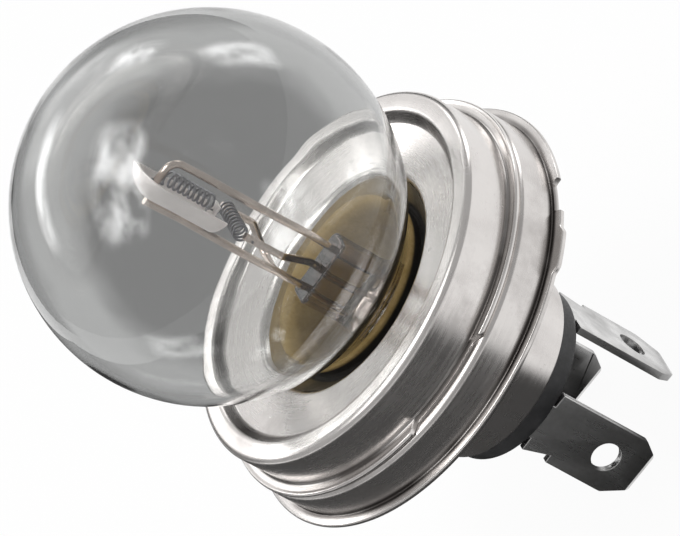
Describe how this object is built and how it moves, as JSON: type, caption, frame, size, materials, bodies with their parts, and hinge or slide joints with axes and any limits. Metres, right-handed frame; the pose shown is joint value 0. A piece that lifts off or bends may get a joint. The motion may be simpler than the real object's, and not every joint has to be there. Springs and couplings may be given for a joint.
{
  "type": "headlight bulb",
  "caption": "Clear ball headlight bulb with dipped and main filaments, a stepped prefocus cap of plated pressed steel, a black insulator and flat plug blades.",
  "frame": {"origin": "on the bulb's axis, in the plane of the front face of the reference flange", "axes": "+Z along the axis from the cap to the globe, +Y towards the blade that is at the top in the lamp, +X towards the main filament's blade"},
  "size_m": [0.045, 0.045, 0.0721],
  "materials": {
    "clear_glass": "clear, slightly grey",
    "cement": "matt tan",
    "nickel_wire": "drawn wire",
    "tungsten": "dull grey",
    "shield_sheet": "satin",
    "plated_steel": "bright nickel plate, slightly worn",
    "black_moulding": "matt black",
    "plated_blade": "satin nickel plate",
    "solder": "bright"
  },
  "bodies": {
    "root": {"glass_envelope": "clear_glass", "glass_stem": "clear_glass", "cement_ring": "cement", "lead_common": "nickel_wire", "lead_main": "nickel_wire", "lead_dip": "nickel_wire", "main_support": "nickel_wire", "filament_main": "tungsten", "filament_dip": "tungsten", "dip_shield": "shield_sheet", "front_collar": "plated_steel", "focus_ring": "plated_steel", "base_sleeve": "plated_steel", "insulator": "black_moulding", "terminal_common": "plated_blade", "terminal_main": "plated_blade", "terminal_dip": "plated_blade", "solder_common": "solder", "solder_main": "solder", "solder_dip": "solder"}
  },
  "joints": []
}
